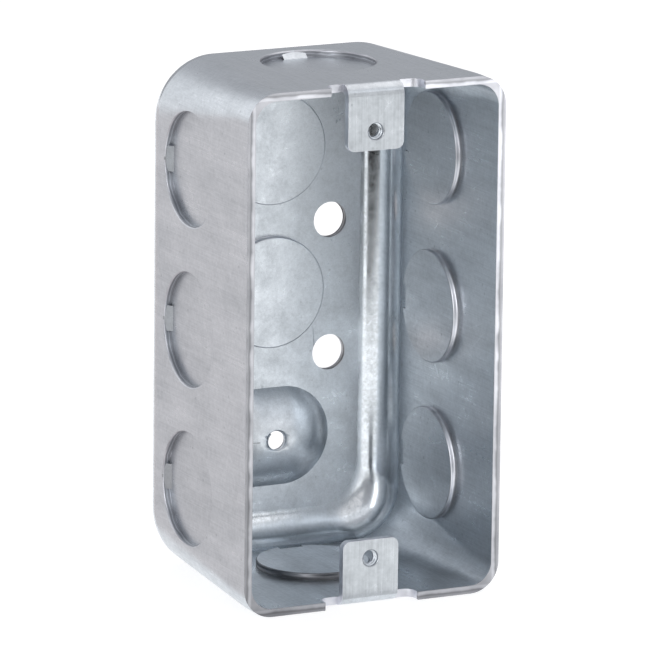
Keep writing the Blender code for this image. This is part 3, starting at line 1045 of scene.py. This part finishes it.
def mark_surfaces(plan, mesh):
    """Keeps what the finish needs to know of the sheet as attributes.

    cut_edge is 1 on sheared metal, wall_tie is 1 on the ties of the long walls and the back,
    pushed_disc is 1 on the knockouts' flat faces, folded is 1 on the tabs, and worked grows to 1
    round the nose, which the die polished."""
    cut = mesh.attributes.new("cut_edge", "FLOAT", "FACE")
    tie = mesh.attributes.new("wall_tie", "FLOAT", "FACE")
    disc = mesh.attributes.new("pushed_disc", "FLOAT", "FACE")
    for face, is_cut, is_tie, is_disc in zip(mesh.polygons, cut.data, tie.data, disc.data):
        is_cut.value = float(face.material_index == 1)
        is_tie.value = float(face.material_index == 2 and abs(face.normal.z) < STEEP)
        is_disc.value = float(face.material_index == 3)
        face.material_index = 0
    folded = mesh.attributes.new("folded", "FLOAT", "POINT")
    tab_reach = plan.half_length - plan.sheet_thickness
    for vertex, value in zip(mesh.vertices, folded.data):
        in_front = vertex.co.y < plan.apron_y
        beside = abs(vertex.co.x) <= plan.tab_half + TAB_SLACK
        within = abs(vertex.co.z - plan.middle_z) < tab_reach
        value.value = float(in_front and beside and within)
    worked = mesh.attributes.new("worked", "FLOAT", "POINT")
    flat_x = plan.half_width - plan.nose_radius - plan.panel_corner_radius
    flat_z = plan.half_length - plan.nose_radius - plan.panel_corner_radius
    for vertex, value in zip(mesh.vertices, worked.data):
        beyond_x = max(abs(vertex.co.x) - flat_x, 0.0)
        beyond_z = max(abs(vertex.co.z - plan.middle_z) - flat_z, 0.0)
        past_panel = math.hypot(beyond_x, beyond_z) - plan.panel_corner_radius
        past_wall = vertex.co.y - plan.nose_start_y
        value.value = min(max(min(past_panel, past_wall) / WORKED_EDGE, 0.0), 1.0)


class HANDYBOX_OT_screw_threads(bpy.types.Operator):
    """Make the screw threads in the two device holes and the ground hole"""

    bl_idname = "handybox.screw_threads"
    bl_label = "Screw threads"

    def execute(self, context):
        plan = read_plan(context.scene)
        material = zinc_plate(plan)
        tree = thread_tree()
        collar_end = plan.sheet_thickness + plan.device_collar_height
        crown = plan.sheet_thickness + plan.ground_seat_rise
        seat = back_frame(plan, 0, plan.middle_z - plan.ground_seat_drop)
        holes = {
            "device_thread_upper": (device_frame(plan, 1), plan.device_screw_bore, 0.0, collar_end),
            "device_thread_lower": (device_frame(plan, -1), plan.device_screw_bore, 0.0, collar_end),
            "ground_thread": (seat, plan.ground_screw_bore, plan.ground_seat_rise, crown),
        }
        for name, (place, bore, low, high) in holes.items():
            start = low + plan.thread_lead_in
            run = high - plan.thread_lead_in - start
            place = place @ Matrix.Translation((0, 0, start))
            draft = add_object(name + "_draft", bpy.data.meshes.new(name), place)
            values = {
                "Radius": bore / 2, "Pitch": plan.thread_pitch, "Height": plan.thread_height,
                "Crest": plan.thread_crest, "Root": plan.thread_root,
                "Turns": run / plan.thread_pitch, "Segments": plan.thread_segments,
                "Material": material,
            }
            run_tree(draft, tree, values)
            mesh = plain_copy(draft, name)
            mesh.transform(draft.matrix_world)
            drop([draft])
            mesh.shade_smooth()
            mesh.set_sharp_from_angle(angle=plan.crease_angle)
            thread = add_object(name, mesh)
            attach(thread, BODY)
        return {"FINISHED"}


BOX_MIDDLE = (NODE_LOW + NODE_HIGH) / 2
LAMP_DISTANCE = 2.5
# Power of a lamp of level 1, in watts for each square metre of it
LAMP_POWER = 4
WHITE = (1.0, 1.0, 1.0)
WARM = (1.0, 0.95, 0.91)
COOL = (0.86, 1.0, 1.1)
PINK = (1.0, 0.945, 0.95)
SKY = (0.97, 0.98, 1.03)

# name, azimuth, elevation, width, height, level, colour
LAMPS = (
    ("front_panel", -14, 20, 50, 30, 0.35, WARM),
    ("high_panel", -10, 42, 70, 20, 0.35, WHITE),
    ("low_panel", -30, 12, 24, 14, 0.5, WHITE),
    ("left_strip", 50, 4, 27, 60, 2.1, WHITE),
    ("right_strip", -66, 6, 16, 60, 0.4, WHITE),
    ("right_panel", -60, 28, 60, 26, 0.1, COOL),
    ("top_panel", 255, 62, 60, 40, 0.57, WARM),
    ("rear_panel", 140, 20, 60, 40, 0.5, WHITE),
)

# name, corners on the floor in metres, level, colour: a white card near the box, a dark one where
# the camera stands, a white one at the right and a pale one at the left
CARDS = (
    ("near_card", ((-0.2, -0.03), (0.0, -0.03), (0.0, -0.19), (-0.2, -0.19)), 1.4, WHITE),
    ("far_card", ((-1.5, -0.19), (0.0, -0.19), (0.0, -1.5), (-1.5, -1.5)), 0.02, WHITE),
    ("right_card", ((0.0, -0.03), (1.5, -0.03), (1.5, -1.5), (0.0, -1.5)), 1.5, WHITE),
    ("left_card", ((-1.5, -0.03), (-0.03, -0.03), (-0.03, 1.5), (-1.5, 1.5)), 0.76, PINK),
)
CARD_LIFT = 0.5 * MM
FLOOR_REACH = 4.0
# The world is brightest from this share of the sky's height up
SKY_TOP = 0.7
SENSOR_WIDTH = 36.0
VIEW_END = 20.0

CAMERA_PLACE = Matrix((
    (0.897187, 0.089215, -0.432547, -0.620009),
    (-0.441509, 0.206068, -0.873273, -1.253866),
    (0.011225, 0.974462, 0.224271, 0.371992),
    (0.0, 0.0, 0.0, 1.0),
))


def ray_switch(tree, rays):
    """1 where a ray is of one of the given kinds, otherwise 0."""
    path = add_node(tree, "ShaderNodeLightPath").outputs
    total = path[rays[0]]
    for ray in rays[1:]:
        total = calculate(tree, "MAXIMUM", total, path[ray])
    return total


def empty_tree(owner):
    """The emptied shader tree of a material or a world."""
    owner.use_nodes = True
    owner.node_tree.nodes.clear()
    return owner.node_tree


def white_paper(plan):
    """Matt paper that looks white to the camera and in mirrors, and keeps a soft shadow."""
    paper = bpy.data.materials.new("white_paper")
    tree = empty_tree(paper)
    seen = ray_switch(tree, ("Is Camera Ray", "Is Glossy Ray", "Is Transmission Ray"))
    links = {"Color": (*even(plan.floor_glow), 1.0), "Strength": seen}
    glow = add_node(tree, "ShaderNodeEmission", links)
    matt = add_node(tree, "ShaderNodeBsdfDiffuse", {"Color": (*plan.floor_colour, 1.0)})
    both = add_node(tree, "ShaderNodeAddShader", {0: glow.outputs[0], 1: matt.outputs[0]})
    add_node(tree, "ShaderNodeOutputMaterial", {"Surface": both.outputs[0]})
    return paper


def add_sheet(name, corners, height, material):
    """One flat face on the stage, level with the floor or just over it."""
    bm = bmesh.new()
    bm.faces.new([bm.verts.new((x, y, height)) for x, y in corners])
    mesh = bpy.data.meshes.new(name)
    bm.to_mesh(mesh)
    bm.free()
    mesh.materials.append(material)
    sheet = add_object(name, mesh)
    return sheet


def add_floor(plan):
    reach = FLOOR_REACH
    corners = ((-reach, -reach), (reach, -reach), (reach, reach), (-reach, reach))
    add_sheet("floor", corners, 0.0, white_paper(plan))


def add_card(name, corners, level, tint):
    """A card flat on the floor, which only shows in the metal."""
    finish = bpy.data.materials.new(name)
    tree = empty_tree(finish)
    lit = add_node(tree, "ShaderNodeEmission", {"Color": (*tint, 1.0), "Strength": level})
    add_node(tree, "ShaderNodeOutputMaterial", {"Surface": lit.outputs[0]})
    card = add_sheet(name, corners, CARD_LIFT, finish)
    card.visible_camera = False
    card.visible_diffuse = False
    card.visible_shadow = False


def add_world(plan):
    """Pale light from all round, brighter from above."""
    world = bpy.data.worlds.new("studio")
    tree = empty_tree(world)
    direction = add_node(tree, "ShaderNodeTexCoord").outputs["Generated"]
    parts = add_node(tree, "ShaderNodeSeparateXYZ", {"Vector": direction}).outputs
    level = add_node(tree, "ShaderNodeMapRange", {
        "Value": parts["Z"], "From Min": 0.0, "From Max": SKY_TOP,
        "To Min": plan.world_low, "To Max": plan.world_high,
    }, interpolation_type="SMOOTHSTEP")
    glow = add_node(tree, "ShaderNodeBackground", {"Color": (*SKY, 1.0), "Strength": level.outputs[0]})
    add_node(tree, "ShaderNodeOutputWorld", {"Surface": glow.outputs[0]})
    bpy.context.scene.world = world


def add_soft_lamp(name, azimuth, elevation, width, height, level, tint):
    """A rectangular lamp that faces the box, with its place and size as angles in degrees.

    azimuth 0 is straight in front of the box, and it grows towards the left."""
    lamp = bpy.data.lights.new(name, "AREA")
    lamp.shape = "RECTANGLE"
    lamp.size = 2 * LAMP_DISTANCE * math.tan(math.radians(width / 2))
    lamp.size_y = 2 * LAMP_DISTANCE * math.tan(math.radians(height / 2))
    lamp.energy = LAMP_POWER * lamp.size * lamp.size_y * level
    lamp.color = tint
    turn = math.radians(azimuth)
    rise = math.radians(elevation)
    away = Vector((-math.sin(turn) * math.cos(rise), -math.cos(turn) * math.cos(rise), math.sin(rise)))
    face = away.to_track_quat("Z", "Y").to_matrix().to_4x4()
    item = add_object(name, lamp, Matrix.Translation(BOX_MIDDLE + LAMP_DISTANCE * away) @ face)
    item.visible_camera = False


def add_camera(plan):
    view = bpy.data.cameras.new("photo_camera")
    view.lens = plan.camera_lens
    view.sensor_width = SENSOR_WIDTH
    view.clip_end = VIEW_END
    bpy.context.scene.camera = add_object("photo_camera", view, CAMERA_PLACE)


class HANDYBOX_OT_stage(bpy.types.Operator):
    """Make the floor, the light and the camera"""

    bl_idname = "handybox.stage"
    bl_label = "Stage"

    def execute(self, context):
        plan = read_plan(context.scene)
        add_floor(plan)
        add_world(plan)
        for card in CARDS:
            add_card(*card)
        for lamp in LAMPS:
            add_soft_lamp(*lamp)
        add_camera(plan)
        context.scene.view_settings.view_transform = "Standard"
        return {"FINISHED"}


class HANDYBOX_PT_panel(bpy.types.Panel):
    """Sizes, finish and the steps that make the box"""

    bl_idname = "HANDYBOX_PT_panel"
    bl_label = "Handy box"
    bl_space_type = "VIEW_3D"
    bl_region_type = "UI"
    bl_category = "Handy box"

    def draw(self, context):
        layout = self.layout
        for attribute, group in GROUPS.items():
            box = layout.box()
            box.label(text=group.__doc__)
            values = getattr(context.scene, attribute)
            for name in group.__annotations__:
                box.prop(values, name)
        for step in STEPS:
            layout.operator(step.bl_idname)


STEPS = (HANDYBOX_OT_drawn_box, HANDYBOX_OT_screw_threads, HANDYBOX_OT_stage)


def register():
    for group in GROUPS.values():
        bpy.utils.register_class(group)
    for attribute, group in GROUPS.items():
        setattr(bpy.types.Scene, attribute, PointerProperty(type=group))
    for step in STEPS + (HANDYBOX_PT_panel,):
        bpy.utils.register_class(step)


def unregister():
    for step in STEPS + (HANDYBOX_PT_panel,):
        bpy.utils.unregister_class(step)
    for attribute, group in GROUPS.items():
        delattr(bpy.types.Scene, attribute)
        bpy.utils.unregister_class(group)


def main():
    register()
    bpy.ops.handybox.drawn_box()
    bpy.ops.handybox.screw_threads()
    bpy.ops.handybox.stage()


if __name__ == "__main__":
    main()
